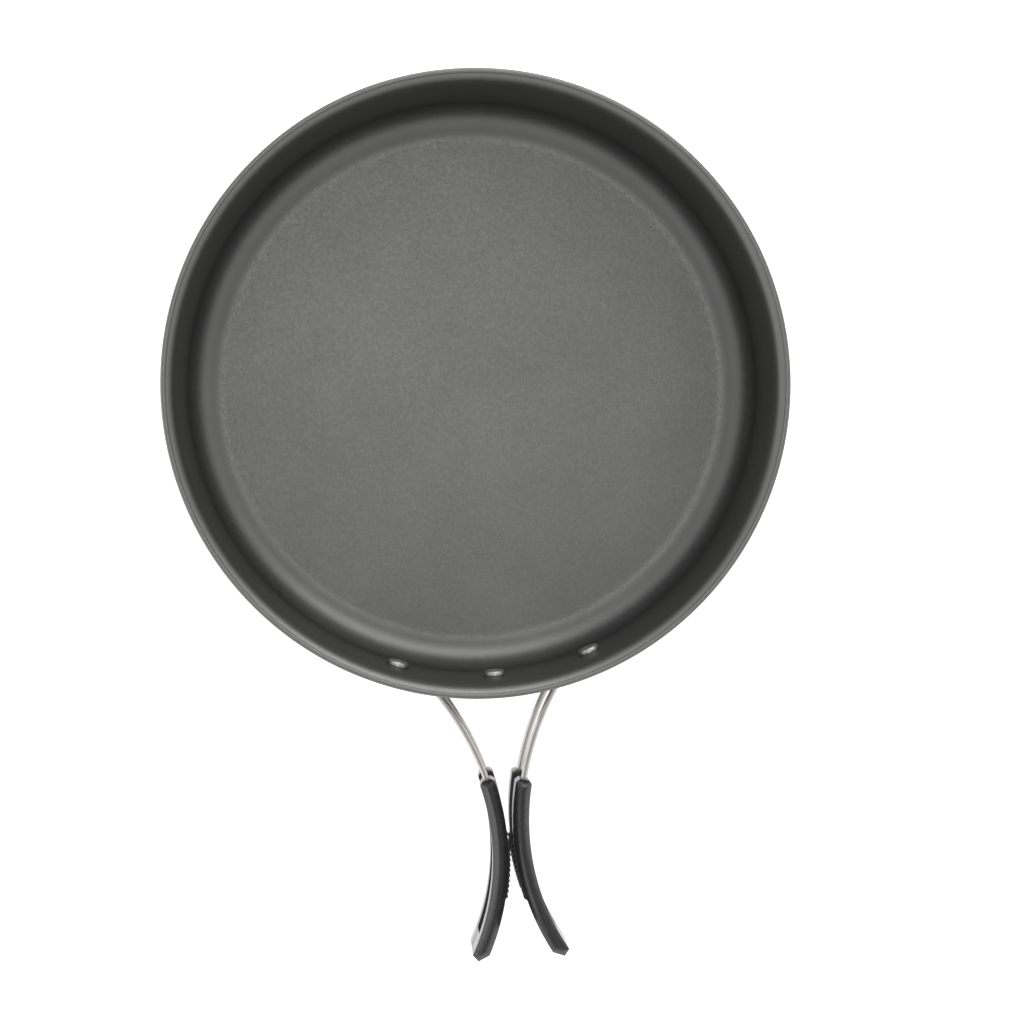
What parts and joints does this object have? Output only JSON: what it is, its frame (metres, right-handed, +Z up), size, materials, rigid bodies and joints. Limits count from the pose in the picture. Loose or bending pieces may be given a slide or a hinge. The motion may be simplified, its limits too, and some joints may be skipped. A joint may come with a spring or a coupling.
{
  "type": "camping frying pan",
  "caption": "Wide shallow frying pan with a flared lip and a pair of folding wire-loop handles with ridged plastic grips, riveted on through a curved hinge bracket.",
  "frame": {"origin": "centre of the flat underside of the pan, on the surface that it stands on", "axes": "+Z up; -Y from the pan's centre towards the handles; +X to the right, seen from above with the handles nearest the viewer"},
  "size_m": [0.24, 0.3428, 0.055],
  "materials": {
    "pan_shell": "satin",
    "bracket_steel": "satin",
    "rivet_metal": "polished",
    "wire_steel": "polished",
    "grip_plastic": "gloss"
  },
  "bodies": {
    "pan": {"pan_body": "pan_shell", "handle_bracket": "bracket_steel", "left_rivet": "rivet_metal", "centre_rivet": "rivet_metal", "right_rivet": "rivet_metal"},
    "left_handle": {"left_handle_wire": "wire_steel", "left_grip_upper": "grip_plastic", "left_grip_lower": "grip_plastic"},
    "right_handle": {"right_handle_wire": "wire_steel", "right_grip_upper": "grip_plastic", "right_grip_lower": "grip_plastic"}
  },
  "joints": [
    {"name": "left_handle_fold", "type": "hinge", "parent": "pan", "child": "left_handle", "pos_m": [-0.02513, -0.11335, 0.029], "axis": [0.0151, 0.0681, -0.9976], "range_deg": [0, 132]},
    {"name": "right_handle_fold", "type": "hinge", "parent": "pan", "child": "right_handle", "pos_m": [0.02513, -0.11335, 0.029], "axis": [0.0151, -0.0681, 0.9976], "range_deg": [0, 129]}
  ]
}
